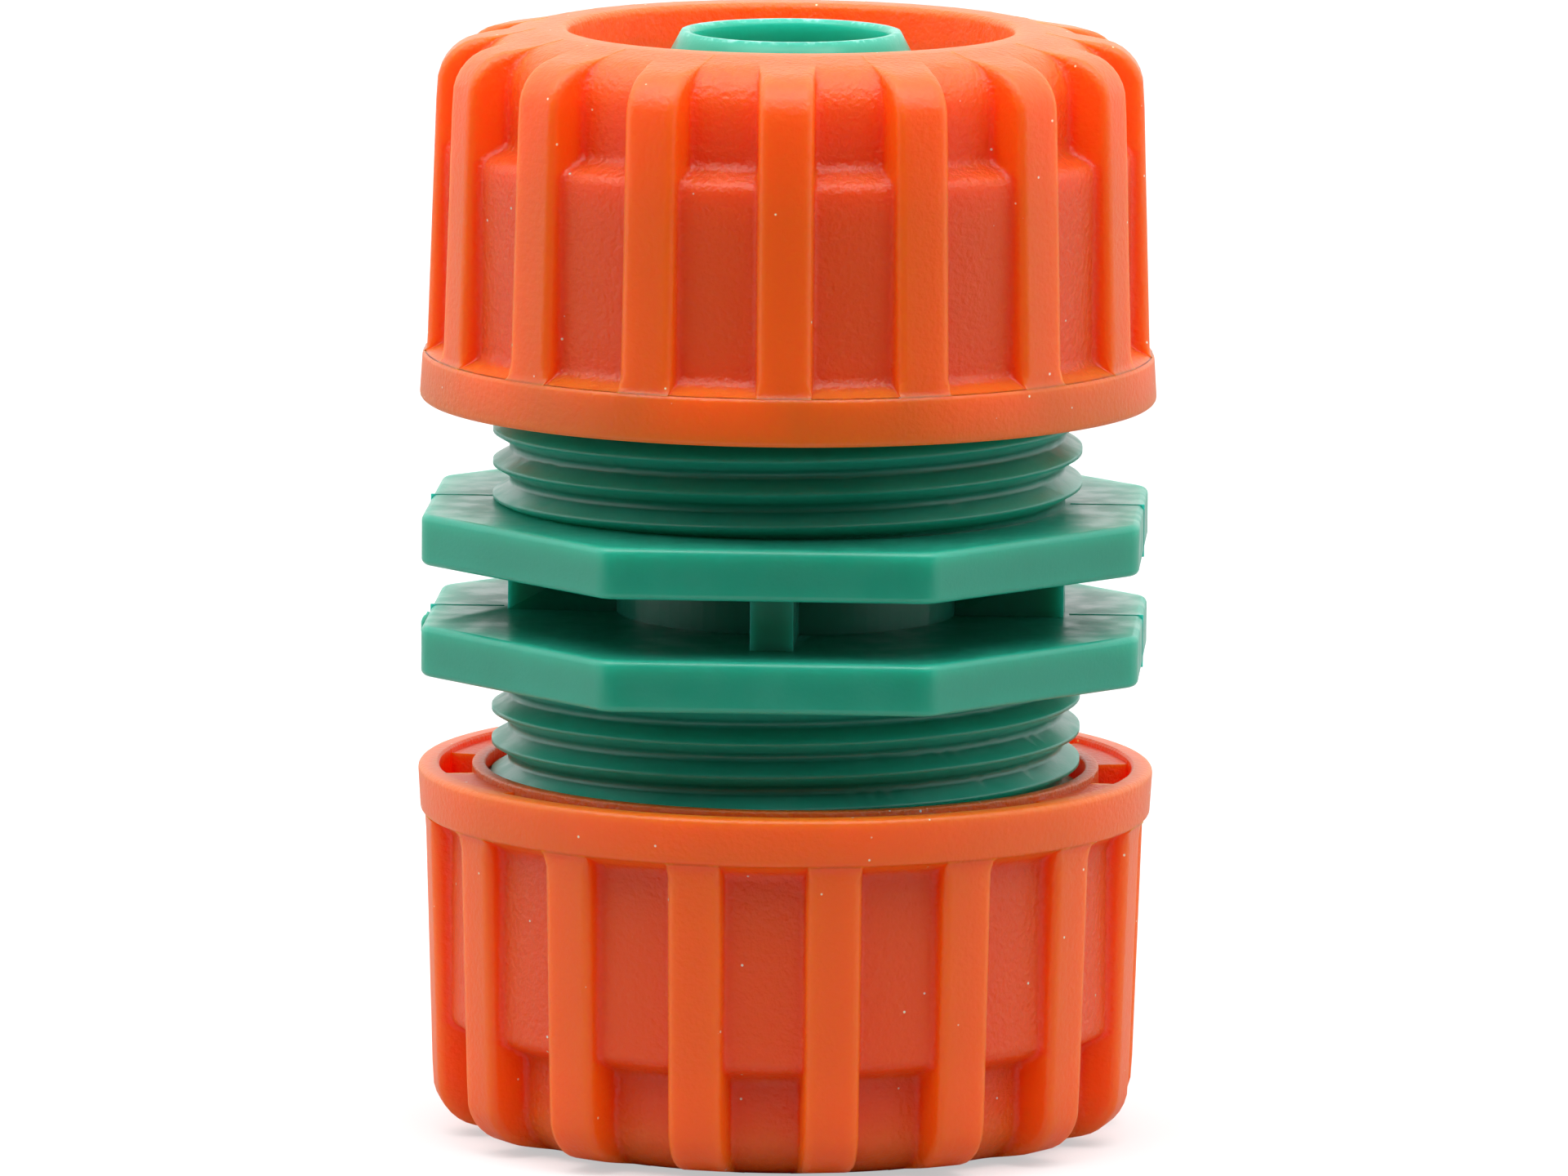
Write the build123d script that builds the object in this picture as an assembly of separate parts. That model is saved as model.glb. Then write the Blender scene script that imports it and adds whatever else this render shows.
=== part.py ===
from build123d import *

import math
import os

# A hose mender: a moulded body with a barbed tail and a threaded sleeve on each side, and on each
# side a ribbed nut that carries a split gripping collet. Sizes are in millimetres and degrees.
# The origin is the middle of the body on the axis of the bore, and +Z runs up that axis.

# Body: two eight-sided flange plates, back to back, with a tube and four webs between them
PLATE_REACH = 18.4  # axis to each of the four main flats
FRONT_FLAT = 16.6  # length of the flats that face front and back
SIDE_FLAT = 14.6  # length of the flats at the two sides
PLATE_CORNER_R = 1.5
PLATE_GAP = 3.1
PLATE_THICKNESS = 2.65
PLATE_EDGE_R = 0.35
CORE_R = 8.8
WEB_THICKNESS = 2.2
WEB_REACH = 14.35
WEB_COUNT = 4

# Body: waterway and barbed hose tail, whose radius every other radius but the plates' follows
TAIL_R = 6.5  # over the barbs, for a hose of 12.7 mm bore
TAIL_WALL = 1.0  # from the waterway to the tail's surface between barbs
BARB_HEIGHT = 0.5
TIP_DROP = 0.86  # how much thinner than the barbs the tip is
TAIL_END = 28.55  # height of the tip over the middle of the body
TIP_TAPER = 1.6
TIP_LAND = 1.5
BORE_MOUTH = 0.3
BARB_COUNT = 4  # below the tip
BARB_PITCH = 3.9
BARB_RAMP = 2.5
BARB_LAND = 0.9
TAIL_FOOT = 0.6  # width and height of the slope where the tail meets the socket floor

# Body: threaded sleeve round the tail, and the socket between them that takes the hose
SLEEVE_WALL = 2.05
SLEEVE_END = 16.5
SLEEVE_LEAD = 0.5
SOCKET_FLOOR = 2.4  # thickness of the floor under the hose

# Single-start right-hand thread on the sleeve and in the nut
PITCH = 1.7
THREAD_DEPTH = 0.85
CREST_WIDTH = 0.25
NUT_CREST_WIDTH = 0.2
FLANK_ANGLE = 30.0
THREAD_CLEARANCE = 0.3  # radial, from crest to root both ways
THREAD_SINK = 0.2  # how far a ridge's foot goes into its wall
THREAD_LEAD = 0.9  # height over which a ridge fades out at a free end

# Nut: how far it stands from the plate and how it is turned, as it is seen
NUT_LIFT = 5.3
UPPER_NUT_TURN = 2.35
LOWER_NUT_TURN = 101.0

# Nut: outside
NUT_HEIGHT = 19.2
NUT_RIM_HEIGHT = 2.4
NUT_RIM_DRAFT = 0.15
NUT_RIM_EDGE_R = 0.3
PANEL_INSET = 1.45  # from the rim in to the panels between the ribs
PANEL_FOOT = 3.0
PANEL_STEP_DEPTH = 1.45
PANEL_STEP_RISE = 0.7
TOP_PANEL_HEIGHT = 5.4  # from the step to the closed end
TOP_PANEL_ROUND = 2.3
FACE_INSET = 3.0  # from the upper panels in to the flat ring at the closed end
FACE_WIDTH = 1.64  # of that ring, out from the hole
FACE_SLOPE = 13.0
FACE_EDGE_R = 0.35
RIB_COUNT = 16
RIB_WIDTH = 2.8
RIB_HEIGHT = 1.05  # over the panels, at the rib's foot
RIB_TAPER = 0.5
RIB_SLOPE = 10.0
RIB_SHOULDER_R = 2.5
RIB_EDGE_R = 0.45
RIB_ROOT = 1.1  # how deep a rib is rooted in the wall under it

# Nut: open end, with a ring of pockets between the rim and the threaded wall
THREAD_WALL = 0.7
POCKET_WIDTH = 1.7
RIM_WALL = 1.1
POCKET_COUNT = 8
POCKET_ANGLE = 21.5
POCKET_DEPTH = 2.0
POCKET_LEDGE = 0.35  # how far the webs between the pockets lie below the rim

# Nut: inside
HOLE_DEPTH = 2.5
CONE_HEIGHT = 2.9
SEAT_INSET = 1.2  # from the thread's bore in to the collet's seat
SEAT_HEIGHT = 1.0
BEAD_LIP = 0.7  # how far the bead that holds the collet stands in from its seat
BEAD_HEIGHT = 0.5
NUT_THREAD_START = 0.7
NUT_THREAD_END = 7.0
NUT_THREAD_HEIGHT = 0.061  # of the ridge over the rim, in line with the first rib, less whole turns

# Collet: a foot ring that slides in the socket, and fingers that end in a flange held in the nut
COLLET_CLEARANCE = 0.3
COLLET_START = -0.2  # foot of the collet, from the nut's rim
COLLET_WALL = 1.6
COLLET_TOP_GAP = 0.3  # from the top of the collet to the nut's hole
FINGER_COUNT = 8
FINGER_SLOT = 0.9
FINGER_START = 2.8
HOSE_WALL = 2.8  # from the barbs to the teeth
TOOTH_ROOM = 1.1  # from the teeth to the inside of the foot ring
TOOTH_DEPTH = 0.6
TOOTH_PITCH = 1.5
TOOTH_COUNT = 3
COLLET_MOUTH = 0.5

# Places that follow from the sizes above
PLATE_START = PLATE_GAP / 2
PLATE_END = PLATE_START + PLATE_THICKNESS
FLOOR = PLATE_START + SOCKET_FLOOR
TAIL_ROOT_R = TAIL_R - BARB_HEIGHT
TAIL_TIP_R = TAIL_R - TIP_DROP
BORE_R = TAIL_ROOT_R - TAIL_WALL
TOOTH_R = TAIL_R + HOSE_WALL
COLLET_INNER_R = TOOTH_R + TOOTH_ROOM
COLLET_OUTER_R = COLLET_INNER_R + COLLET_WALL
SOCKET_R = COLLET_OUTER_R + COLLET_CLEARANCE
SLEEVE_R = SOCKET_R + SLEEVE_WALL
CREST_R = SLEEVE_R + THREAD_DEPTH
THREAD_BORE_R = CREST_R + THREAD_CLEARANCE
NUT_CREST_R = SLEEVE_R + THREAD_CLEARANCE
POCKET_INNER_R = THREAD_BORE_R + THREAD_WALL
POCKET_OUTER_R = POCKET_INNER_R + POCKET_WIDTH
NUT_R = POCKET_OUTER_R + RIM_WALL
PANEL_R = NUT_R - PANEL_INSET
RIB_FOOT_R = PANEL_R + RIB_HEIGHT
RIB_TOP_R = RIB_FOOT_R - RIB_TAPER
TOP_PANEL_R = PANEL_R - PANEL_STEP_DEPTH
FACE_R = TOP_PANEL_R - FACE_INSET
HOLE_R = FACE_R - FACE_WIDTH
SEAT_R = THREAD_BORE_R - SEAT_INSET
BEAD_R = SEAT_R - BEAD_LIP
NUT_START = PLATE_END + NUT_LIFT
PANEL_STEP_END = NUT_HEIGHT - TOP_PANEL_HEIGHT
PANEL_STEP_START = PANEL_STEP_END - PANEL_STEP_RISE
CONE_END = NUT_HEIGHT - HOLE_DEPTH
SEAT_END = CONE_END - CONE_HEIGHT
BEAD_END = SEAT_END - SEAT_HEIGHT
THREAD_BORE_END = BEAD_END - BEAD_HEIGHT
RIB_STEP = 360.0 / RIB_COUNT


def revolved(points, rounds=()):
    """A solid turned about the Z axis from (radius, height) points; rounds holds (corner, radius)."""
    face = make_face(Plane.XZ * Polyline(*points, close=True))
    for (r, z), radius in rounds:
        corner = face.vertices().sort_by_distance((r, 0, z))[0]
        face = fillet(corner, radius)
    return revolve(face, Axis.Z)


def disc(radius, low, high):
    """A plain cylinder from one height to another."""
    return Pos(0, 0, low) * extrude(Circle(radius), high - low)


def thread_ridge(root_r, tip_r, tip_width, low, high, height_at_x):
    """A helical ridge; height_at_x is the height of its middle over +X, less whole turns."""
    outward = math.copysign(1, tip_r - root_r)
    depth = abs(tip_r - root_r)
    slope = math.tan(math.radians(FLANK_ANGLE))
    foot_half = tip_width / 2 + (depth + THREAD_SINK) * slope
    start_turn = 360.0 * (low - height_at_x) / PITCH
    path = Helix(PITCH, high - low, root_r)
    profile = Plane(origin=path @ 0, x_dir=(1, 0, 0), z_dir=path % 0) * make_face(
        Polyline(
            (-outward * THREAD_SINK, -foot_half),
            (outward * depth, -tip_width / 2),
            (outward * depth, tip_width / 2),
            (-outward * THREAD_SINK, foot_half),
            close=True,
        )
    )
    return Pos(0, 0, low) * Rot(0, 0, start_turn) * sweep(profile, path, is_frenet=True)


def flange_plate():
    """One eight-sided plate with rounded corners and softened edges."""
    outline = Polyline(
        (FRONT_FLAT / 2, PLATE_REACH),
        (PLATE_REACH, SIDE_FLAT / 2),
        (PLATE_REACH, -SIDE_FLAT / 2),
        (FRONT_FLAT / 2, -PLATE_REACH),
        (-FRONT_FLAT / 2, -PLATE_REACH),
        (-PLATE_REACH, -SIDE_FLAT / 2),
        (-PLATE_REACH, SIDE_FLAT / 2),
        (-FRONT_FLAT / 2, PLATE_REACH),
        close=True,
    )
    face = make_face(outline)
    plate = extrude(fillet(face.vertices(), PLATE_CORNER_R), PLATE_THICKNESS)
    rims = plate.edges().filter_by(Axis.Z, reverse=True)
    return Pos(0, 0, PLATE_START) * fillet(rims, PLATE_EDGE_R)


def webs():
    """The radial webs from the core tube to under the sleeve, from the middle up into the plate."""
    web = Pos(WEB_REACH / 2, 0, PLATE_START / 2) * Box(WEB_REACH, WEB_THICKNESS, PLATE_START)
    solid = web
    for i in range(1, WEB_COUNT):
        solid += Rot(0, 0, i * 360.0 / WEB_COUNT) * web
    return solid


def hose_tail():
    """The barbed tail: each barb rises towards the body and drops square, so the hose can't back off."""
    land_end = TAIL_END - TIP_TAPER - TIP_LAND
    points = [(BORE_R - BORE_MOUTH, FLOOR - SOCKET_FLOOR / 2), (BORE_R - BORE_MOUTH, TAIL_END)]
    points += [(TAIL_TIP_R, TAIL_END), (TAIL_R, TAIL_END - TIP_TAPER), (TAIL_R, land_end)]
    for i in range(BARB_COUNT):
        top = land_end - i * BARB_PITCH
        land = top - BARB_PITCH + BARB_LAND
        points += [(TAIL_ROOT_R, top), (TAIL_ROOT_R, land + BARB_RAMP)]
        points += [(TAIL_R, land), (TAIL_R, top - BARB_PITCH)]
    last = land_end - BARB_COUNT * BARB_PITCH
    points += [(TAIL_ROOT_R, last), (TAIL_ROOT_R, FLOOR + TAIL_FOOT)]
    points += [(TAIL_ROOT_R + TAIL_FOOT, FLOOR), (TAIL_ROOT_R + TAIL_FOOT, FLOOR - SOCKET_FLOOR / 2)]
    return revolved(points)


def body_half(thread_height):
    """Everything above the middle of the body, with the thread at thread_height over +X."""
    half = webs() + disc(CORE_R, 0, PLATE_START) + flange_plate()
    sleeve = [(0, PLATE_START + PLATE_EDGE_R), (SLEEVE_R, PLATE_START + PLATE_EDGE_R)]
    sleeve += [(SLEEVE_R, SLEEVE_END - SLEEVE_LEAD), (SLEEVE_R - SLEEVE_LEAD, SLEEVE_END), (0, SLEEVE_END)]
    half += revolved(sleeve)
    ridge_low = PLATE_START + PITCH / 2
    ridge = thread_ridge(SLEEVE_R, CREST_R, CREST_WIDTH, ridge_low, SLEEVE_END, thread_height)
    fade = [(0, PLATE_START + PLATE_EDGE_R), (CREST_R + PITCH, PLATE_START + PLATE_EDGE_R)]
    fade += [(CREST_R + PITCH, SLEEVE_END - SLEEVE_LEAD - THREAD_LEAD - PITCH)]
    fade += [(SLEEVE_R - SLEEVE_LEAD, SLEEVE_END - SLEEVE_LEAD + THREAD_LEAD / 2), (0, SLEEVE_END)]
    half += ridge & revolved(fade)
    half -= disc(SOCKET_R, FLOOR, TAIL_END)
    half += hose_tail()
    half -= disc(BORE_R, -PLATE_START, TAIL_END)
    mouth = [(0, TAIL_END + BORE_MOUTH), (BORE_R + 2 * BORE_MOUTH, TAIL_END + BORE_MOUTH)]
    mouth += [(BORE_R, TAIL_END - BORE_MOUTH), (0, TAIL_END - BORE_MOUTH)]
    return half - revolved(mouth)


def rib():
    """One rib of the nut along +X, from the rim to the closed end, with rounded crest edges."""
    slope = math.tan(math.radians(RIB_SLOPE))
    shoulder = NUT_HEIGHT - (RIB_TOP_R - FACE_R) * slope
    crest_low = NUT_RIM_HEIGHT - PANEL_R + RIB_FOOT_R - RIB_ROOT
    points = [
        (PANEL_R - RIB_ROOT, crest_low),
        (RIB_FOOT_R, crest_low),
        (RIB_TOP_R, shoulder),
        (FACE_R, NUT_HEIGHT),
        (FACE_R - RIB_ROOT, NUT_HEIGHT),
        (FACE_R - RIB_ROOT, CONE_END + RIB_ROOT / 2),
        (TOP_PANEL_R - RIB_ROOT, PANEL_STEP_END),
        (PANEL_R - RIB_ROOT, PANEL_STEP_START - RIB_ROOT),
    ]
    face = make_face(Plane.XZ * Polyline(*points, close=True))
    face = fillet(face.vertices().sort_by_distance((RIB_TOP_R, 0, shoulder))[0], RIB_SHOULDER_R)
    solid = extrude(face, RIB_WIDTH / 2, both=True)
    crest_edges = []
    for edge in solid.edges():
        middle = edge @ 0.5
        along_side = abs(edge.bounding_box().size.Y) < RIB_EDGE_R / 10
        outside = middle.X > FACE_R and middle.Z > crest_low + RIB_EDGE_R / 10
        inner_line = middle.X < PANEL_R - RIB_ROOT / 2 and middle.Z < CONE_END
        if along_side and outside and not inner_line:
            crest_edges.append(edge)
    return fillet(crest_edges, RIB_EDGE_R)


def nut_wall():
    """The nut without its ribs, pockets and thread."""
    slope = math.tan(math.radians(FACE_SLOPE))
    shoulder = NUT_HEIGHT - (TOP_PANEL_R - FACE_R) * slope
    points = [
        (THREAD_BORE_R, 0),
        (NUT_R, 0),
        (NUT_R - NUT_RIM_DRAFT, NUT_RIM_HEIGHT),
        (PANEL_R, PANEL_FOOT),
        (PANEL_R, PANEL_STEP_START),
        (TOP_PANEL_R, PANEL_STEP_END),
        (TOP_PANEL_R, shoulder),
        (FACE_R, NUT_HEIGHT),
        (HOLE_R, NUT_HEIGHT),
        (HOLE_R, CONE_END),
        (SEAT_R, SEAT_END),
        (SEAT_R, BEAD_END),
        (BEAD_R, BEAD_END),
        (BEAD_R, THREAD_BORE_END),
        (THREAD_BORE_R, THREAD_BORE_END),
    ]
    rounds = [
        ((NUT_R, 0), NUT_RIM_EDGE_R),
        ((NUT_R - NUT_RIM_DRAFT, NUT_RIM_HEIGHT), NUT_RIM_EDGE_R),
        ((TOP_PANEL_R, shoulder), TOP_PANEL_ROUND),
        ((HOLE_R, NUT_HEIGHT), FACE_EDGE_R),
    ]
    return revolved(points, rounds)


def pockets():
    """The ring of pockets at the open end; the webs left between them lie a ledge below the rim."""
    band = Circle(POCKET_OUTER_R) - Circle(POCKET_INNER_R)
    reach = 2 * POCKET_OUTER_R
    half_width = reach * math.tan(math.radians(POCKET_ANGLE / 2))
    wedge = make_face(Polyline((0, 0), (reach, -half_width), (reach, half_width), close=True))
    cuts = [extrude(band, POCKET_LEDGE)]
    for i in range(POCKET_COUNT):
        middle = RIB_STEP / 2 + i * 360.0 / POCKET_COUNT
        cuts.append(extrude(band & Rot(0, 0, middle) * wedge, POCKET_DEPTH))
    return cuts


def nut():
    """One union nut with its rim at height 0 and its closed end up, a rib over +X."""
    solid = nut_wall()
    for cut in pockets():
        solid -= cut
    one_rib = rib()
    for i in range(RIB_COUNT):
        solid += Rot(0, 0, i * RIB_STEP) * one_rib
    ridge = thread_ridge(
        THREAD_BORE_R,
        NUT_CREST_R,
        NUT_CREST_WIDTH,
        NUT_THREAD_START - PITCH,
        NUT_THREAD_END + PITCH,
        NUT_THREAD_HEIGHT,
    )
    mouth_r = THREAD_BORE_R + 2 * THREAD_SINK
    fade = [
        (NUT_CREST_R - THREAD_SINK, NUT_THREAD_START + THREAD_LEAD),
        (mouth_r, NUT_THREAD_START),
        (mouth_r, NUT_THREAD_END),
        (NUT_CREST_R - THREAD_SINK, NUT_THREAD_END - THREAD_LEAD),
    ]
    return solid + (ridge & revolved(fade))


def collet():
    """One collet in its nut, with heights from the nut's rim: foot ring, slotted fingers and teeth."""
    flange_r = SEAT_R - COLLET_CLEARANCE
    flange_low = BEAD_END + COLLET_CLEARANCE
    cone_run = (CONE_END - SEAT_END) / (SEAT_R - HOLE_R)  # height for each mm of radius
    cone_drop = COLLET_CLEARANCE * math.hypot(1, cone_run)
    top = CONE_END - COLLET_TOP_GAP
    flange_top = SEAT_END + (SEAT_R - flange_r) * cone_run - cone_drop
    top_r = SEAT_R - (top + cone_drop - SEAT_END) / cone_run
    points = [
        (COLLET_INNER_R, COLLET_START),
        (COLLET_OUTER_R, COLLET_START),
        (COLLET_OUTER_R, flange_low),
        (flange_r, flange_low),
        (flange_r, flange_top),
        (top_r, top),
        (TOOTH_R + COLLET_MOUTH, top),
        (TOOTH_R, top - COLLET_MOUTH),
    ]
    for i in range(TOOTH_COUNT):
        crest = top - COLLET_MOUTH - i * TOOTH_PITCH
        points += [(TOOTH_R + TOOTH_DEPTH, crest - TOOTH_DEPTH / 2), (TOOTH_R, crest - TOOTH_PITCH)]
    lowest_tooth = top - COLLET_MOUTH - TOOTH_COUNT * TOOTH_PITCH
    points += [(COLLET_INNER_R, lowest_tooth - TOOTH_ROOM)]
    solid = revolved(points)
    slot_height = top - COLLET_START - FINGER_START
    slot = Pos(flange_r / 2, 0, COLLET_START + FINGER_START + slot_height / 2)
    cutter = slot * Box(flange_r + COLLET_CLEARANCE, FINGER_SLOT, slot_height + COLLET_CLEARANCE)
    for i in range(FINGER_COUNT):
        solid -= Rot(0, 0, i * 360.0 / FINGER_COUNT) * cutter
    return solid


def thread_height_for(turn):
    """Height of the body's ridge over +X that puts it midway between the turns of a nut turned so far."""
    return NUT_START + NUT_THREAD_HEIGHT - PITCH * turn / 360.0 - PITCH / 2


def write(node, solid):
    """One STEP file for each node."""
    solid = solid.solid()
    solid.label = node
    export_step(solid, os.path.join("parts", node + ".step"))


os.makedirs("parts", exist_ok=True)

upside_down = Rot(180, 0, 0)
upper_place = Pos(0, 0, NUT_START) * Rot(0, 0, UPPER_NUT_TURN)
lower_place = upside_down * Pos(0, 0, NUT_START) * Rot(0, 0, -LOWER_NUT_TURN)

upper_half = body_half(thread_height_for(UPPER_NUT_TURN))
lower_half = body_half(thread_height_for(-LOWER_NUT_TURN))
write("hose_body", upper_half + upside_down * lower_half)

one_nut = nut()
write("upper_nut", upper_place * one_nut)
write("lower_nut", lower_place * one_nut)

one_collet = collet()
write("upper_collet", Pos(0, 0, NUT_START) * one_collet)
write("lower_collet", upside_down * Pos(0, 0, NUT_START) * one_collet)
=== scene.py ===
import math

import bmesh
import bpy
from mathutils import Matrix, Quaternion, Vector, noise


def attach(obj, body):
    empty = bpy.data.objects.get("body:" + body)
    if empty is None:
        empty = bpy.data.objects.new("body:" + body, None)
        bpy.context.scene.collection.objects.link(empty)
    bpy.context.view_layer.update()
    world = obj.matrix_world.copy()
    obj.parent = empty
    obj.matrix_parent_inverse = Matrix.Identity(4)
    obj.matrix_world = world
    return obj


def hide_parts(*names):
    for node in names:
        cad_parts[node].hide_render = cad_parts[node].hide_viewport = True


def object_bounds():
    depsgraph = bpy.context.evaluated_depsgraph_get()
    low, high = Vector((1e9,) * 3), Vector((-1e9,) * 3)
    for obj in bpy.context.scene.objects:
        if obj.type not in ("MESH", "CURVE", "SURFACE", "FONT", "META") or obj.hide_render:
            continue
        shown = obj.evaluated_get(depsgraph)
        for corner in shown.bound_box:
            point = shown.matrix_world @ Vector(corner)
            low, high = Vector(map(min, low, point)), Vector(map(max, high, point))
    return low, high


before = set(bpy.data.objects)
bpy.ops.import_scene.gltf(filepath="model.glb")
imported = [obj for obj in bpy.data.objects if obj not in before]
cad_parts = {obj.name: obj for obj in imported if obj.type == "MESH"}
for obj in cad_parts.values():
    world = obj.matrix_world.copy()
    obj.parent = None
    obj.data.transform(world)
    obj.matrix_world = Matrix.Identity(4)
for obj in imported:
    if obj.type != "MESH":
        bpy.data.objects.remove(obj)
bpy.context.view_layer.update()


# Hose body
# One green moulding: two eight-sided flange plates joined by a core tube and four webs, and on
# each side a threaded sleeve round a barbed hose tail. It is injection moulded in polypropylene
# in a two-part mould, and everything else is screwed on to it.

MM = 0.001  # every length below is in millimetres, up to where it is scaled by this
MERGE_WITHIN = 0.0005
SOLID_CORNER = math.radians(32)  # an edge that turns by more than this stays sharp
TAIL_TOP = 28.55
SCUFF_BAND = (0.16, 0.04)  # where it begins and is full, down from the top of the tail
SCUFF_PATCH = 0.5
GREEN_GRAIN = 0.2
DYE_CLOUD = 6
POLISH_PATCH = 2
GREEN_LIGHT_DEPTH = 4


def linear(hex_colour):
    """An sRGB hex colour as the linear values that a shader takes."""
    channels = [int(hex_colour[i:i + 2], 16) / 255 for i in (1, 3, 5)]
    return [c / 12.92 if c <= 0.04045 else ((c + 0.055) / 1.055) ** 2.4 for c in channels] + [1.0]


def add(tree, kind, inputs=None, links=None, **settings):
    """One node with its settings, input values and the sockets that feed it."""
    node = tree.nodes.new(kind)
    for name, value in settings.items():
        setattr(node, name, value)
    for socket, value in (inputs or {}).items():
        node.inputs[socket].default_value = value
    for socket, source in (links or {}).items():
        tree.links.new(source, node.inputs[socket])
    return node


def bare_material(name):
    """A new material with nothing in its node tree."""
    material = bpy.data.materials.new(name)
    material.use_nodes = True
    material.node_tree.nodes.clear()
    return material


def smooth_copy(node_name):
    """A merged copy of a solid's mesh, smooth across its rounds and sharp at its corners."""
    mesh = bpy.data.meshes.new(node_name + "_moulding")
    bm = bmesh.new()
    bm.from_mesh(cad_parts[node_name].data)
    bmesh.ops.remove_doubles(bm, verts=bm.verts, dist=MERGE_WITHIN * MM)
    for face in bm.faces:
        face.smooth = True
    bm.to_mesh(mesh)
    bm.free()
    mesh.set_sharp_from_angle(angle=SOLID_CORNER)
    return mesh


def moulding(node_name, mesh):
    """The piece that stands for a solid, with its rounds shaded by the flats beside them."""
    piece = bpy.data.objects.new(node_name + "_moulding", mesh)
    bpy.context.scene.collection.objects.link(piece)
    normals = piece.modifiers.new("face_normals", "WEIGHTED_NORMAL")
    normals.keep_sharp = True
    return piece


# green polypropylene: satin with a soft gloss, and clear enough that its thin edges glow
green = bare_material("polypropylene_green")
tree = green.node_tree
where = add(tree, "ShaderNodeTexCoord").outputs["Object"]
# a fine mould grain, drawn about twice as coarse as the real one so that it shows, and a faint
# unevenness of the dye
fine = add(tree, "ShaderNodeTexNoise", {"Scale": 1 / (GREEN_GRAIN * MM), "Detail": 3.0},
           {"Vector": where})
cloud = add(tree, "ShaderNodeTexNoise", {"Scale": 1 / (DYE_CLOUD * MM), "Detail": 3.0},
            {"Vector": where})
tint = add(tree, "ShaderNodeMix", {6: linear("#229b82"), 7: linear("#198a70")},
           {0: cloud.outputs["Fac"]}, data_type="RGBA")
# a thin ragged scuff, a little paler than the plastic, along the very rim of the tail's tip
body_axes = add(tree, "ShaderNodeSeparateXYZ", None, {"Vector": where})
tip = add(tree, "ShaderNodeMapRange", {
    "From Min": (TAIL_TOP - SCUFF_BAND[0]) * MM, "From Max": (TAIL_TOP - SCUFF_BAND[1]) * MM,
}, {"Value": body_axes.outputs["Z"]})
wear = add(tree, "ShaderNodeTexNoise", {"Scale": 1 / (SCUFF_PATCH * MM), "Detail": 4.0},
           {"Vector": where})
patches = add(tree, "ShaderNodeMapRange", {"From Min": 0.5, "From Max": 0.66, "To Max": 0.55},
              {"Value": wear.outputs["Fac"]})
scuff = add(tree, "ShaderNodeMath", None, {0: tip.outputs[0], 1: patches.outputs[0]},
            operation="MULTIPLY")
skin = add(tree, "ShaderNodeMix", {7: linear("#a8dccb")},
           {0: scuff.outputs[0], 6: tint.outputs[2]}, data_type="RGBA")
grain = add(tree, "ShaderNodeBump", {"Strength": 0.35, "Distance": 0.025 * MM},
            {"Height": fine.outputs["Fac"]})
# handling has polished it in patches, so its gloss comes and goes
polish = add(tree, "ShaderNodeTexNoise", {"Scale": 1 / (POLISH_PATCH * MM), "Detail": 5.0},
             {"Vector": where})
gloss = add(tree, "ShaderNodeMapRange",
            {"From Min": 0.4, "From Max": 0.6, "To Min": 0.28, "To Max": 0.4},
            {"Value": polish.outputs["Fac"]})
shader = add(tree, "ShaderNodeBsdfPrincipled", {
    "IOR": 1.52, "Subsurface Weight": 1.0, "Subsurface Scale": GREEN_LIGHT_DEPTH * MM,
    "Subsurface Radius": (0.5, 1.0, 0.9),
}, {
    "Base Color": skin.outputs[2], "Roughness": gloss.outputs[0],
    "Normal": grain.outputs["Normal"],
})
add(tree, "ShaderNodeOutputMaterial", None, {"Surface": shader.outputs["BSDF"]})

body = moulding("hose_body", smooth_copy("hose_body"))
body.data.materials.append(green)
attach(body, "hose_body")
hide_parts("hose_body")


# Parting lines and flash
# Where the two halves of the body's mould met, a fine raised line runs over each end of both
# plates, and at one end of the lower plate a lump of flash was left on it. They are the body's
# own polypropylene, moulded in one with it and never trimmed.

PLATE_FACES = (1.55, 4.2)  # heights of a plate's two faces from the middle of the body
PLATE_REACH = 18.4
LINE_START = 14.6
LINE_HALF = 0.06
LINE_RISE = 0.04
LINE_ROUND = 0.035
FLASH_PLACE = (-18.5, 0.0, -2.7)
FLASH_SIZE = (0.4, 0.35, 0.75)
FLASH_LUMPS = 0.3  # as a share of its size
FLASH_LUMP_PACE = 1.7  # lumps to each of its radii
THIN_LIGHT_DEPTH = 1.2

reach = PLATE_REACH + LINE_RISE
low, high = PLATE_FACES[0] - LINE_RISE, PLATE_FACES[1] + LINE_RISE
bm = bmesh.new()
for end in (-1, 1):
    for plate in (-1, 1):
        slab = bmesh.ops.create_cube(bm, size=1)["verts"]
        bmesh.ops.scale(bm, vec=(reach - LINE_START, 2 * LINE_HALF, high - low), verts=slab)
        middle = (end * (reach + LINE_START) / 2, 0, plate * (low + high) / 2)
        bmesh.ops.translate(bm, vec=middle, verts=slab)
bmesh.ops.bevel(bm, geom=list(bm.edges), offset=LINE_ROUND, segments=2, profile=0.5,
                material=-1, affect="EDGES")
flash = bmesh.ops.create_icosphere(bm, subdivisions=3, radius=1)["verts"]
for v in flash:
    v.co *= 1 + FLASH_LUMPS * noise.noise(FLASH_LUMP_PACE * v.co)
bmesh.ops.scale(bm, vec=FLASH_SIZE, verts=flash)
bmesh.ops.translate(bm, vec=FLASH_PLACE, verts=flash)
for face in {face for v in flash for face in v.link_faces}:
    face.smooth = True
bmesh.ops.scale(bm, vec=(MM, MM, MM), verts=bm.verts)
lines_mesh = bpy.data.meshes.new("parting_lines")
bm.to_mesh(lines_mesh)
bm.free()

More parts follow.
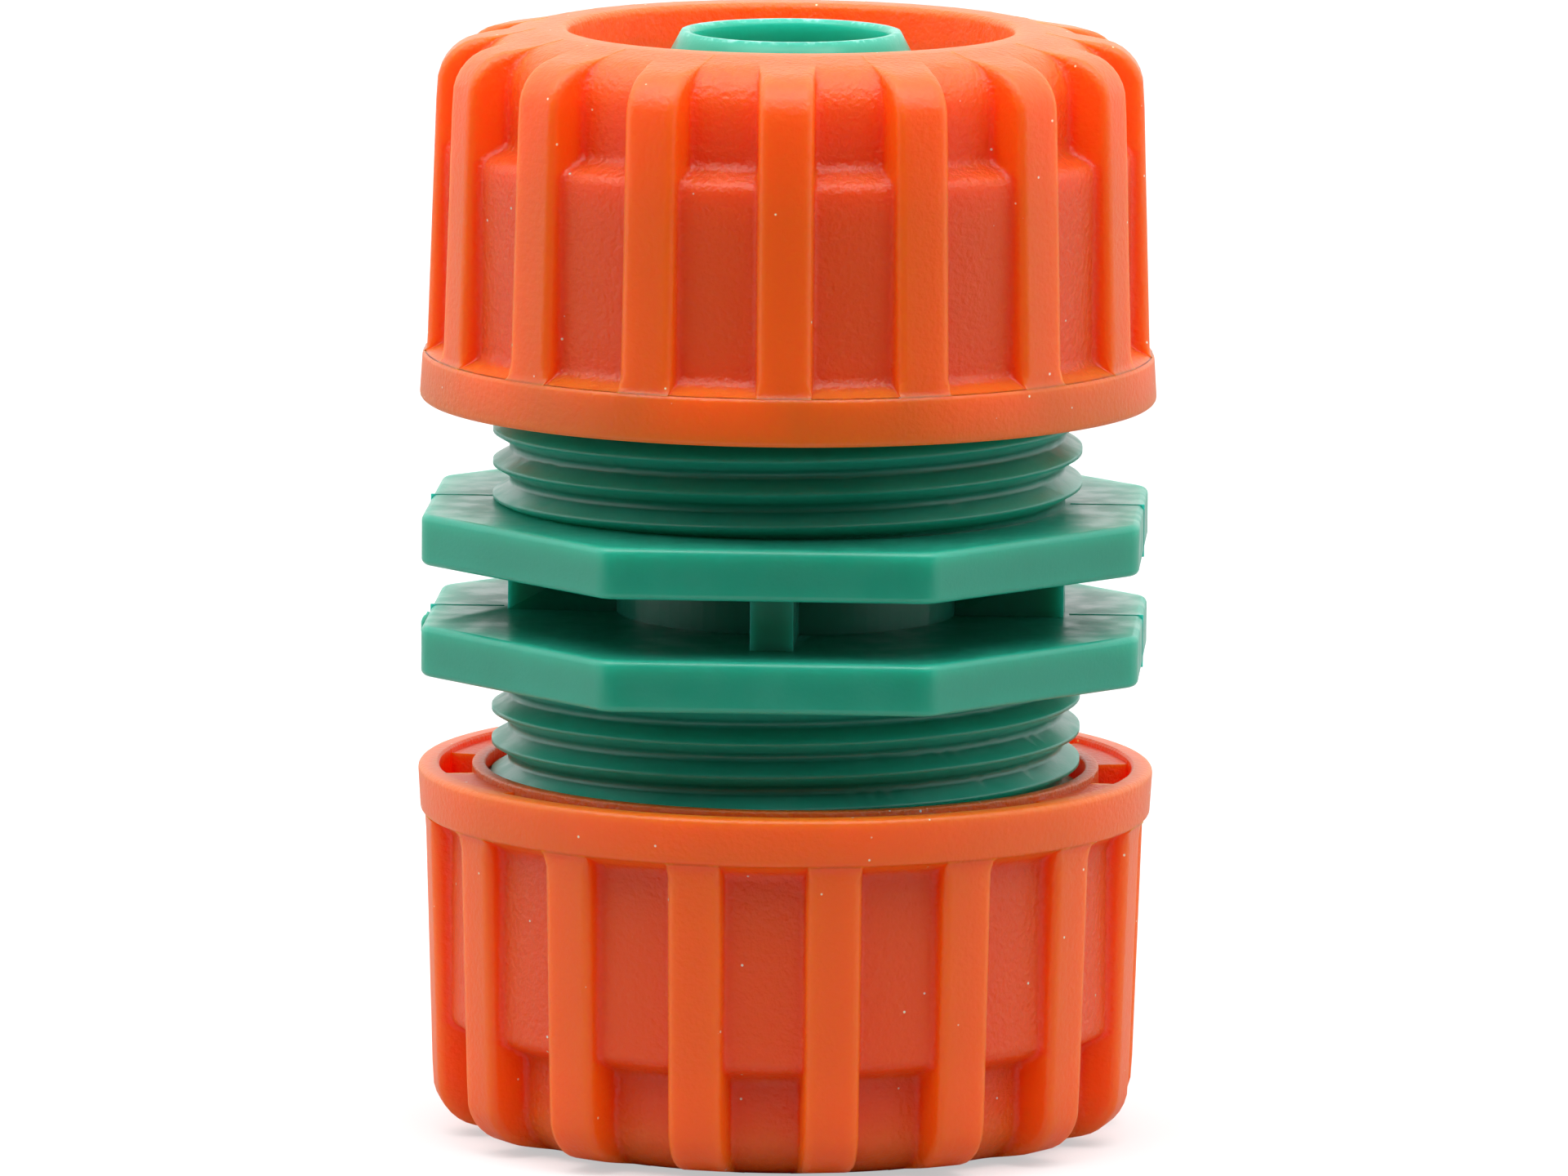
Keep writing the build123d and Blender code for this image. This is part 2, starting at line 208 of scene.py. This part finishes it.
# the same green, but light goes less deep in ridges as thin as these, so that they keep its colour
thin_green = green.copy()
thin_green.name = "polypropylene_green_flash"
thin_shader = thin_green.node_tree.nodes["Principled BSDF"]
thin_shader.inputs["Subsurface Scale"].default_value = THIN_LIGHT_DEPTH * MM
lines_mesh.materials.append(thin_green)

parting_lines = bpy.data.objects.new("parting_lines", lines_mesh)
bpy.context.scene.collection.objects.link(parting_lines)
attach(parting_lines, "hose_body")


# Union nuts
# Two orange mouldings of one mould, the lower one turned over. Each is a cap with a round hole,
# sixteen grip ribs that run over its shoulder, a plain rim, and a ring of pockets in its open end
# that keeps the wall thin. They are polypropylene with the fine grain of a spark-eroded mould.

NUT_HEIGHT = 19.2
NUT_FOOT = 9.5  # from the middle of the body to the nut's rim, from where its heights are counted
NUT_TURNS = {"upper_nut": 2.35, "lower_nut": -101.0}  # degrees
NUT_CORNER = math.radians(36)
RIM_R = 18.999
RIM_TOP_R = 18.85
RIM_HEIGHT = 2.4
RIM_ROUND = 0.3
PANEL_R = 17.55
PANEL_FOOT = 3.0
TOP_PANEL_R = 16.1
STEP_START = 13.1
STEP_END = 13.8
STEP_ROUND = 0.7
SHOULDER_ROUND = 2.3
FACE_R = 13.1
FACE_SLOPE = math.tan(math.radians(13))
RIBS = 16
RIB_SPACING = 360 / RIBS  # degrees
RIB_ANGLE = math.radians(RIB_SPACING)
RIB_HALF = 1.4
RIB_FOOT = (18.6, 2.35)
RIB_TOP_R = 18.1
RIB_SLOPE = math.tan(math.radians(10))
RIB_SHOULDER_ROUND = 2.5
RIB_END_R = 14.2  # where a rib's crest has sunk into the face
RIB_CREST_ROUND = 0.45
RIB_ROOT_ROUND = 0.3
RIB_FOOT_SPREAD = 0.35  # share of a rib's roundings that is left where it runs into the ledge
RIB_FOOT_PACE = 1.6  # how soon they are whole, up the foot of a panel
ARC_STEPS = 4  # at least, in any rounding
ARC_STEPS_PER_MM = 5
CREST_STEPS = 4
ROOT_STEPS = 3
PANEL_STEPS = 3
PANEL_STATIONS = 1.2
RIB_STATIONS = 0.2
BEHIND = 0.01  # how far behind its start a ray may still meet a line
HOLE_R = 11.46
HOLE_ROUND = 0.35
HOLE_FOOT = 16.7
SEAT_R = 14.3
SEAT_TOP = 13.8
SEAT_FOOT = 12.8
BEAD_R = 13.6
BEAD_FOOT = 12.3
THREAD_BORE_R = 15.5
POCKET_INNER_R = 16.2
POCKET_OUTER_R = 17.9
POCKET_LEDGE = 0.35
POCKET_DEPTH = 2.0
POCKET_DRAFT = 0.03
POCKET_WALL = (0.5, 0.8)  # degrees from a rib's middle to the edge and foot of a pocket's end wall
MOUTH_ROUND = 0.12


def profile(corners):
    """Points along (radius, height, rounding) corners, where a rounding becomes an arc."""
    points = []
    for i, (radius, height, rounding) in enumerate(corners):
        corner = Vector((radius, height))
        if rounding == 0:
            points.append(corner)
            continue
        back = (Vector(corners[i - 1][:2]) - corner).normalized()
        on = (Vector(corners[i + 1][:2]) - corner).normalized()
        half_angle = back.angle(on) / 2
        centre = corner + (back + on).normalized() * rounding / math.sin(half_angle)
        first = corner + back * rounding / math.tan(half_angle) - centre
        last = corner + on * rounding / math.tan(half_angle) - centre
        start = math.atan2(first.y, first.x)
        swing = (math.atan2(last.y, last.x) - start + math.pi) % (2 * math.pi) - math.pi
        steps = max(ARC_STEPS, round(ARC_STEPS_PER_MM * rounding))
        for k in range(steps + 1):
            angle = start + swing * k / steps
            points.append(centre + Vector((math.cos(angle), math.sin(angle))) * rounding)
    return points


def with_stations(points, spacing):
    """The same profile with more points on its long straights."""
    dense = [points[0]]
    for before, after in zip(points, points[1:]):
        count = max(1, round((after - before).length / spacing))
        dense += [before.lerp(after, k / count) for k in range(1, count + 1)]
    return dense


def outward(points, i):
    """The outward normal of a profile that runs up the outside of the nut."""
    along = points[min(i + 1, len(points) - 1)] - points[max(i - 1, 0)]
    return Vector((along.y, -along.x)).normalized()


def meet(start, direction, line):
    """Where a ray from start first meets a profile, and the profile's outward normal there."""
    across = Vector((-direction.y, direction.x))
    for a, b in zip(line, line[1:]):
        side_a, side_b = (a - start).dot(across), (b - start).dot(across)
        if side_a != side_b and min(side_a, side_b) <= 0 <= max(side_a, side_b):
            point = a.lerp(b, side_a / (side_a - side_b))
            if (point - start).dot(direction) > -BEHIND:
                return point, Vector((b.y - a.y, a.x - b.x)).normalized()
    return start, direction


shoulder = NUT_HEIGHT - (TOP_PANEL_R - FACE_R) * FACE_SLOPE
shoulder_foot = shoulder - SHOULDER_ROUND * math.tan((math.pi / 2 - math.atan(FACE_SLOPE)) / 2)
rib_shoulder = NUT_HEIGHT - (RIB_TOP_R - FACE_R) * RIB_SLOPE
ledge_slope = (PANEL_FOOT - RIM_HEIGHT) / (RIM_TOP_R - PANEL_R)
ledge_r = RIB_FOOT[0] + RIB_ROOT_ROUND / 2
ledge_start = (ledge_r, RIM_HEIGHT + (RIM_TOP_R - ledge_r) * ledge_slope)
panel_line = with_stations(profile([
    (*ledge_start, 0),
    (PANEL_R, PANEL_FOOT, STEP_ROUND),
    (PANEL_R, STEP_START, STEP_ROUND),
    (TOP_PANEL_R, STEP_END, STEP_ROUND),
    (TOP_PANEL_R, shoulder, SHOULDER_ROUND),
    (FACE_R, NUT_HEIGHT, 0),
]), PANEL_STATIONS)
rib_line = with_stations(profile([
    (*ledge_start, 0),
    (RIB_FOOT[0], RIM_HEIGHT + (RIM_TOP_R - RIB_FOOT[0]) * ledge_slope, RIB_ROOT_ROUND / 2),
    (RIB_TOP_R, rib_shoulder, RIB_SHOULDER_ROUND),
    (RIB_END_R, NUT_HEIGHT - (RIB_END_R - FACE_R) * FACE_SLOPE, 0),
]), RIB_STATIONS)
foot_rows = [i for i, point in enumerate(panel_line) if point.y < PANEL_FOOT + STEP_ROUND]


def half_sector(place, normal, crest, crest_normal, rise):
    """Points at one height from a rib's middle, round its edge and root, to a panel's middle."""
    spread = max(rise, RIB_FOOT_SPREAD)
    edge = RIB_HALF - RIB_CREST_ROUND * spread
    points = [(crest.x, edge * share, crest.y) for share in (0, 0.5, 1)]
    for k in range(1, CREST_STEPS + 1):
        angle = math.pi / 2 * k / CREST_STEPS
        spot = crest - crest_normal * RIB_CREST_ROUND * rise * (1 - math.cos(angle))
        points.append((spot.x, edge + RIB_CREST_ROUND * spread * math.sin(angle), spot.y))
    root = []
    for k in range(ROOT_STEPS + 1):
        angle = math.pi / 2 * k / ROOT_STEPS
        spot = place + normal * RIB_ROOT_ROUND * rise * (1 - math.sin(angle))
        y = RIB_HALF + RIB_ROOT_ROUND * spread * (1 - math.cos(angle))
        root.append((math.sqrt(spot.x ** 2 - y ** 2), y, spot.y))
    points.append(tuple((m + n) / 2 for m, n in zip(points[-1], root[0])))
    points += root
    root_end = math.atan2(root[-1][1], root[-1][0])
    for k in range(1, PANEL_STEPS + 1):
        angle = root_end + (RIB_ANGLE / 2 - root_end) * k / PANEL_STEPS
        points.append((place.x * math.cos(angle), place.x * math.sin(angle), place.y))
    return points


def all_round(half):
    """A closed ring of points from one half sector, mirrored and repeated for every rib."""
    sector = [Vector(point) for point in half]
    sector += [Vector((x, -y, z)) for x, y, z in half[-2:0:-1]]
    ring = []
    for rib in range(RIBS):
        for k, point in enumerate(sector):
            turn = RIB_ANGLE * (rib + (k >= len(half)))
            ring.append(Matrix.Rotation(turn, 3, "Z") @ point)
    return ring


def ring_row(radius, height, angles):
    """A ring of points at one radius and height."""
    return [Vector((radius * math.cos(a), radius * math.sin(a), height)) for a in angles]


# the rows of points up the outside, each of which goes round every rib and panel
outside = []
for i, place in enumerate(panel_line):
    if i in foot_rows:
        up_foot = i / len(foot_rows)
        height = ledge_start[1] + up_foot * (PANEL_FOOT + STEP_ROUND - ledge_start[1])
        crest, crest_normal = meet(Vector((PANEL_R, height)), Vector((1, 0)), rib_line)
        rise = min(1, RIB_FOOT_PACE * up_foot)
    else:
        way = Vector((1, 0)) if place.y < shoulder_foot else outward(panel_line, i)
        crest, crest_normal = meet(place, way, rib_line)
        rise = min(1, (crest - place).length / (RIB_CREST_ROUND + RIB_ROOT_ROUND))
    outside.append(all_round(half_sector(place, outward(panel_line, i), crest, crest_normal, rise)))

# at the mouth the columns are spaced for the pockets, with two close together at each end wall
columns = len(outside[0])
rim_angles = [math.atan2(p.y, p.x) % (2 * math.pi) for p in outside[0]]
face_angles = [math.atan2(p.y, p.x) % (2 * math.pi) for p in outside[-1]]
half_columns = columns // RIBS // 2
wall_columns = len(POCKET_WALL)
even_columns = half_columns - wall_columns
even_step = (RIB_SPACING / 2 - POCKET_WALL[1]) / even_columns
pocket_half = [0, *POCKET_WALL]
pocket_half += [POCKET_WALL[1] + even_step * k for k in range(1, even_columns + 1)]
pocket_sector = pocket_half + [RIB_SPACING - angle for angle in pocket_half[-2:0:-1]]
mouth_angles = [rib * RIB_ANGLE + math.radians(angle)
                for rib in range(RIBS) for angle in pocket_sector]
shifts = [(at_mouth - at_face + math.pi) % (2 * math.pi) - math.pi
          for at_mouth, at_face in zip(mouth_angles, face_angles)]

rim_line = profile([
    (POCKET_OUTER_R + MOUTH_ROUND, 0, 0),
    (RIM_R, 0, RIM_ROUND),
    (RIM_TOP_R, RIM_HEIGHT, RIM_ROUND),
    (*ledge_start, 0),
])[:-1]
rows = [ring_row(rim_line[0].x, rim_line[0].y, mouth_angles)]
rows += [ring_row(point.x, point.y, rim_angles) for point in rim_line[1:]]
rows += outside

inside_line = profile([
    (FACE_R, NUT_HEIGHT, 0),
    (HOLE_R, NUT_HEIGHT, HOLE_ROUND),
    (HOLE_R, HOLE_FOOT, 0),
    (SEAT_R, SEAT_TOP, 0),
    (SEAT_R, SEAT_FOOT, 0),
    (BEAD_R, SEAT_FOOT, 0),
    (BEAD_R, BEAD_FOOT, 0),
    (THREAD_BORE_R, BEAD_FOOT, 0),
    (THREAD_BORE_R, 0, MOUTH_ROUND),
    (POCKET_INNER_R, 0, MOUTH_ROUND),
    (POCKET_INNER_R, POCKET_LEDGE, 0),
])[1:-1]
bore_top = len(inside_line) - 2 * (ARC_STEPS + 1) - 1  # two roundings follow this point
for k, point in enumerate(inside_line):
    way_in = min(1, k / bore_top)
    angles = [at_face + shift * way_in for at_face, shift in zip(face_angles, shifts)]
    rows.append(ring_row(point.x, point.y, angles))
for pocket_r in (POCKET_INNER_R + POCKET_DRAFT, POCKET_OUTER_R - POCKET_DRAFT):
    pocket_row = ring_row(pocket_r, POCKET_LEDGE, mouth_angles)
    for k, point in enumerate(pocket_row):
        past_rib, station = divmod(k, 2 * half_columns)
        if past_rib % 2 == 0 and wall_columns <= station <= 2 * half_columns - wall_columns:
            point.z = POCKET_DEPTH
    rows.append(pocket_row)
rows.append(ring_row(POCKET_OUTER_R, MOUTH_ROUND, mouth_angles))

# a flat grid wrapped on these rows: its columns go round the nut, and its rows up the outside,
# down the inside and over the pockets, back to where they began
bm = bmesh.new()
bmesh.ops.create_grid(bm, x_segments=columns, y_segments=len(rows), size=1)
for v in bm.verts:
    column = round((v.co.x + 1) / 2 * columns) % columns
    row = round((v.co.y + 1) / 2 * len(rows)) % len(rows)
    v.co = rows[row][column]
bmesh.ops.remove_doubles(bm, verts=bm.verts, dist=MERGE_WITHIN)

# the thread inside, one ridge whose foot is sunk in the wall and whose crest fades at its ends
THREAD_PITCH = 1.7
THREAD_CREST_R = 14.65
THREAD_CREST_HALF = 0.1
THREAD_FLANK = math.radians(30)
THREAD_LOW = 0.7
THREAD_HIGH = 7.0
THREAD_RISE = 0.061  # how far the ridge has risen where it crosses the X axis
THREAD_SINK = 0.2
THREAD_FADE = 0.9
THREAD_STEPS = 60  # to a turn
sunk_r = THREAD_BORE_R + THREAD_SINK
foot_half = THREAD_CREST_HALF + (sunk_r - THREAD_CREST_R) * math.tan(THREAD_FLANK)
section = [(sunk_r, -foot_half), (THREAD_CREST_R, -THREAD_CREST_HALF),
           (THREAD_CREST_R, THREAD_CREST_HALF), (sunk_r, foot_half)]
begin = 2 * math.pi * (THREAD_LOW - THREAD_RISE) / THREAD_PITCH
wall = set(bm.verts)
section_verts = [bm.verts.new((r * math.cos(begin), r * math.sin(begin), THREAD_LOW + h))
                 for r, h in section]
start_face = bm.faces.new(section_verts)
turns = (THREAD_HIGH - THREAD_LOW) / THREAD_PITCH
spin_steps = round(turns * THREAD_STEPS)
bmesh.ops.spin(bm, geom=[start_face] + list(start_face.edges) + section_verts, cent=(0, 0, 0),
               axis=(0, 0, 1), dvec=(0, 0, THREAD_PITCH * turns / spin_steps),
               angle=2 * math.pi * turns, steps=spin_steps, use_duplicate=False)
for v in set(bm.verts) - wall:
    crest_r = v.co.xy.length
    if crest_r < THREAD_BORE_R:
        from_end = min(v.co.z - THREAD_LOW, THREAD_HIGH - v.co.z)
        fade = min(1, max(0, 1 - from_end / THREAD_FADE))
        v.co.xy *= 1 + fade * (THREAD_BORE_R - THREAD_CREST_R) / crest_r
bmesh.ops.recalc_face_normals(bm, faces=bm.faces)
bmesh.ops.scale(bm, vec=(MM, MM, MM), verts=bm.verts)
for face in bm.faces:
    face.smooth = True
nut_mesh = bpy.data.meshes.new("union_nut")
bm.to_mesh(nut_mesh)
bm.free()
nut_mesh.set_sharp_from_angle(angle=NUT_CORNER)

# orange polypropylene: satin, and clear enough that ribs and rims glow where light gets in; below,
# more of that glow and the shade between the ribs are painted into its colour
# the depth below the crests and the heights over which the colour is painted lighter, as painted
# light
PAINTED_LIGHT_DEPTH = 0.7
PAINTED_LIGHT_SHOULDER = (24.5, 27.5)  # heights from the middle of the body
ORANGE_GRAIN = 0.3
DUST_SPACING = 1.5
DUST_EDGE = (0.055, 0.035)  # where a speck begins and is full, as shares of their spacing
ORANGE_LIGHT_DEPTH = 6
orange = bare_material("polypropylene_orange")
tree = orange.node_tree
where = add(tree, "ShaderNodeTexCoord").outputs["Object"]
# painted light and shade: the colour is a lighter orange on the ribs' crests, the rim and the
# shoulders, as painted light, and a darker red on the recessed panels between the ribs, as painted
# shade, mixed by depth below the crests, which is counted from further in above the step of the
# panels, and which ends at the shoulder
nut_axes = add(tree, "ShaderNodeSeparateXYZ", None, {"Vector": where})
across_axis = add(tree, "ShaderNodeCombineXYZ", None,
                  {"X": nut_axes.outputs["X"], "Y": nut_axes.outputs["Y"]})
from_axis = add(tree, "ShaderNodeVectorMath", None, {0: across_axis.outputs[0]},
                operation="LENGTH")
from_middle = add(tree, "ShaderNodeMath", None, {0: nut_axes.outputs["Z"]}, operation="ABSOLUTE")
inset = add(tree, "ShaderNodeMapRange", {
    "From Min": (NUT_FOOT + STEP_START) * MM, "From Max": (NUT_FOOT + STEP_END) * MM,
    "To Max": (PANEL_R - TOP_PANEL_R) * MM,
}, {"Value": from_middle.outputs[0]})
proud = add(tree, "ShaderNodeMath", None,
            {0: from_axis.outputs["Value"], 1: inset.outputs[0]}, operation="ADD")
on_crest = add(tree, "ShaderNodeMapRange", {
    "From Min": PANEL_R * MM, "From Max": (PANEL_R + PAINTED_LIGHT_DEPTH) * MM,
}, {"Value": proud.outputs[0]}, interpolation_type="SMOOTHSTEP")
painted_light_shoulder = add(tree, "ShaderNodeMapRange", {
    "From Min": PAINTED_LIGHT_SHOULDER[0] * MM, "From Max": PAINTED_LIGHT_SHOULDER[1] * MM,
}, {"Value": from_middle.outputs[0]}, interpolation_type="SMOOTHSTEP")
painted_light_mask = add(tree, "ShaderNodeMath", None, {0: on_crest.outputs[0], 1: painted_light_shoulder.outputs[0]},
          operation="MAXIMUM")
# painted shade (the darker red of the panels) and painted light (the lighter orange of crests, rim
# and shoulders)
painted_light_colour = add(tree, "ShaderNodeMix", {6: linear("#ff4e08"), 7: linear("#ff6006")},
           {0: painted_light_mask.outputs[0]}, data_type="RGBA")
# the grain of the mould sparkles where light grazes it, most on the panels; it is drawn about
# three times as coarse as the real one so that it shows
fine = add(tree, "ShaderNodeTexNoise", {"Scale": 1 / (ORANGE_GRAIN * MM), "Detail": 4.0},
           {"Vector": where})
sparkle = add(tree, "ShaderNodeMapRange", {"To Min": 1.0, "To Max": 0.45},
              {"Value": on_crest.outputs[0]})
grain = add(tree, "ShaderNodeBump", {"Distance": 0.12 * MM},
            {"Strength": sparkle.outputs[0], "Height": fine.outputs["Fac"]})
# pale scattered specks of dust, a tenth of a millimetre across or a little more
specks = add(tree, "ShaderNodeTexVoronoi", {"Scale": 1 / (DUST_SPACING * MM)}, {"Vector": where})
dust = add(tree, "ShaderNodeMapRange", {"From Min": DUST_EDGE[0], "From Max": DUST_EDGE[1]},
           {"Value": specks.outputs["Distance"]})
skin = add(tree, "ShaderNodeMix", {7: linear("#ffe0cc")},
           {0: dust.outputs[0], 6: painted_light_colour.outputs[2]}, data_type="RGBA")
shader = add(tree, "ShaderNodeBsdfPrincipled", {
    "Roughness": 0.4, "IOR": 1.5, "Subsurface Weight": 1.0,
    "Subsurface Scale": ORANGE_LIGHT_DEPTH * MM, "Subsurface Radius": (1.0, 0.4, 0.15),
}, {"Base Color": skin.outputs[2], "Normal": grain.outputs["Normal"]})
add(tree, "ShaderNodeOutputMaterial", None, {"Surface": shader.outputs["BSDF"]})

for name, turn in NUT_TURNS.items():
    mesh = nut_mesh.copy()
    mesh.transform(Matrix.Rotation(math.radians(turn), 4, "Z"))
    mesh.transform(Matrix.Translation((0, 0, NUT_FOOT * MM)))
    if name == "lower_nut":
        mesh.transform(Matrix.Rotation(math.pi, 4, "X"))
    nut = moulding(name, mesh)
    nut.data.materials.append(orange)
    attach(nut, name)
    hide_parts(name)


# Collets
# The two hidden gripping rings, one in each nut: a foot ring, and eight fingers with teeth inside
# that close on the hose. They are moulded in natural white acetal, which is hard and slippery.

RESIN_CLOUD = 5
WHITE_GRAIN = 0.2
WHITE_LIGHT_DEPTH = 1.5

# natural white acetal: milky, so its shadows are soft, with a satin gloss on a fine mould grain
white = bare_material("acetal_white")
tree = white.node_tree
where = add(tree, "ShaderNodeTexCoord").outputs["Object"]
# the resin's tone wanders a little, and the grain is drawn at twice its real size so that it shows
cloud = add(tree, "ShaderNodeTexNoise", {"Scale": 1 / (RESIN_CLOUD * MM), "Detail": 2.0},
            {"Vector": where})
tone = add(tree, "ShaderNodeMix", {6: linear("#ebe9e1"), 7: linear("#dfdccf")},
           {0: cloud.outputs["Fac"]}, data_type="RGBA")
fine = add(tree, "ShaderNodeTexNoise", {"Scale": 1 / (WHITE_GRAIN * MM), "Detail": 3.0},
           {"Vector": where})
grain = add(tree, "ShaderNodeBump", {"Strength": 0.35, "Distance": 0.02 * MM},
            {"Height": fine.outputs["Fac"]})
shader = add(tree, "ShaderNodeBsdfPrincipled", {
    "Roughness": 0.35, "IOR": 1.48, "Subsurface Weight": 0.8,
    "Subsurface Scale": WHITE_LIGHT_DEPTH * MM, "Subsurface Radius": (1.0, 0.9, 0.75),
}, {"Base Color": tone.outputs[2], "Normal": grain.outputs["Normal"]})
add(tree, "ShaderNodeOutputMaterial", None, {"Surface": shader.outputs["BSDF"]})

for name in ("upper_collet", "lower_collet"):
    collet = moulding(name, smooth_copy(name))
    collet.data.materials.append(white)
    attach(collet, name)
    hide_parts(name)


# Studio
# A white board in a light tent, as a product photographer sets up: the tent is open and dark
# towards the camera, two soft lamps shine in from high on the left and right, and a long lens
# stands at the photograph's height and turn.

# the board's front edge lies just before the object, so that its front mirrors the dark opening;
# these two sizes and the lamps' are in metres
BOARD_HALF = 1.0
BOARD_FRONT = 0.1
BOARD_LIFT = 0.5
floor_mesh = bpy.data.meshes.new("floor")
bm = bmesh.new()
bmesh.ops.create_grid(bm, x_segments=1, y_segments=1, size=BOARD_HALF)
bmesh.ops.translate(bm, vec=(0, BOARD_HALF - BOARD_FRONT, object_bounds()[0][2]), verts=bm.verts)
bm.to_mesh(floor_mesh)
bm.free()
floor = bpy.data.objects.new("floor", floor_mesh)
bpy.context.scene.collection.objects.link(floor)

# matt white card, lifted for the camera to the plain white of the photograph
paper = bare_material("white_card")
tree = paper.node_tree
path = add(tree, "ShaderNodeLightPath")
matt = add(tree, "ShaderNodeBsdfDiffuse", {"Color": linear("#b0b0b0")})
lift = add(tree, "ShaderNodeMath", {1: BOARD_LIFT}, {0: path.outputs["Is Camera Ray"]},
           operation="MULTIPLY")
shine = add(tree, "ShaderNodeEmission", {"Color": (1, 1, 1, 1)}, {"Strength": lift.outputs[0]})
both = add(tree, "ShaderNodeAddShader", None, {0: matt.outputs[0], 1: shine.outputs[0]})
add(tree, "ShaderNodeOutputMaterial", None, {"Surface": both.outputs[0]})
floor.data.materials.append(paper)

# the tent: dark in front, bright at the sides and behind, a little brighter above
world = bpy.data.worlds.new("light_tent")
bpy.context.scene.world = world
world.use_nodes = True
tree = world.node_tree
tree.nodes.clear()
path = add(tree, "ShaderNodeLightPath")
towards = add(tree, "ShaderNodeTexCoord").outputs["Generated"]
tent_axes = add(tree, "ShaderNodeSeparateXYZ", None, {"Vector": towards})
open_front = add(tree, "ShaderNodeMapRange",
                 {"From Min": -0.8, "From Max": -0.1, "To Min": 0.08, "To Max": 1.4},
                 {"Value": tent_axes.outputs["Y"]}, interpolation_type="SMOOTHSTEP")
lit_top = add(tree, "ShaderNodeMapRange",
              {"From Min": 0.3, "From Max": 0.9, "To Min": 0.0, "To Max": 0.2},
              {"Value": tent_axes.outputs["Z"]}, interpolation_type="SMOOTHSTEP")
tent = add(tree, "ShaderNodeMath", None, {0: open_front.outputs[0], 1: lit_top.outputs[0]},
           operation="ADD")
strength = add(tree, "ShaderNodeMix", {3: 1.0},
               {0: path.outputs["Is Camera Ray"], 2: tent.outputs[0]}, data_type="FLOAT")
background = add(tree, "ShaderNodeBackground", {"Color": (1, 1, 1, 1)},
                 {"Strength": strength.outputs[0]})
add(tree, "ShaderNodeOutputWorld", None, {"Surface": background.outputs[0]})

LAMP_TURNS = {"left_softbox": -50, "right_softbox": 40}  # degrees round from the front
LAMP_LEAN = 30  # degrees from straight above
LAMP_DISTANCE = 0.9
LAMP_SIZE = 0.6
LAMP_POWER = 3.6  # watts
for name, lamp_turn in LAMP_TURNS.items():
    lamp = bpy.data.lights.new(name, "AREA")
    lamp.energy = LAMP_POWER
    lamp.size = LAMP_SIZE
    softbox = bpy.data.objects.new(name, lamp)
    round_z = Quaternion((0, 0, 1), math.radians(lamp_turn))
    aim = round_z @ Quaternion((1, 0, 0), math.radians(LAMP_LEAN))
    softbox.location = aim @ Vector((0, 0, LAMP_DISTANCE))
    softbox.rotation_euler = aim.to_euler()
    bpy.context.scene.collection.objects.link(softbox)

# the lens, found from the photograph's perspective: angles in degrees, and its focal length and
# the shift of the object's axis in pixels of the photograph
CAMERA_DISTANCE = 825.3
CAMERA_HEIGHT_ANGLE = 8.365
CAMERA_TURN = 3.0
CAMERA_ROLL = 0.45
SENSOR_WIDTH = 36
LENS_PX = 19572
IMAGE_WIDTH_PX = 1920
AXIS_SHIFT_PX = (3.4, 9.5)
camera_data = bpy.data.cameras.new("camera")
camera_data.sensor_width = SENSOR_WIDTH
camera_data.lens = SENSOR_WIDTH * LENS_PX / IMAGE_WIDTH_PX
camera_data.shift_x = -AXIS_SHIFT_PX[0] / IMAGE_WIDTH_PX
camera_data.shift_y = -AXIS_SHIFT_PX[1] / IMAGE_WIDTH_PX
camera = bpy.data.objects.new("camera", camera_data)
azimuth = math.radians(CAMERA_TURN - 90)
climb = math.radians(CAMERA_HEIGHT_ANGLE)
direction = Vector((math.cos(azimuth) * math.cos(climb), math.sin(azimuth) * math.cos(climb),
                    math.sin(climb)))
camera.location = direction * (CAMERA_DISTANCE * MM)
upright = (-direction).to_track_quat("-Z", "Y")
camera.rotation_euler = (upright @ Quaternion((0, 0, 1), math.radians(CAMERA_ROLL))).to_euler()
bpy.context.scene.collection.objects.link(camera)
bpy.context.scene.camera = camera
bpy.context.scene.view_settings.view_transform = "Standard"
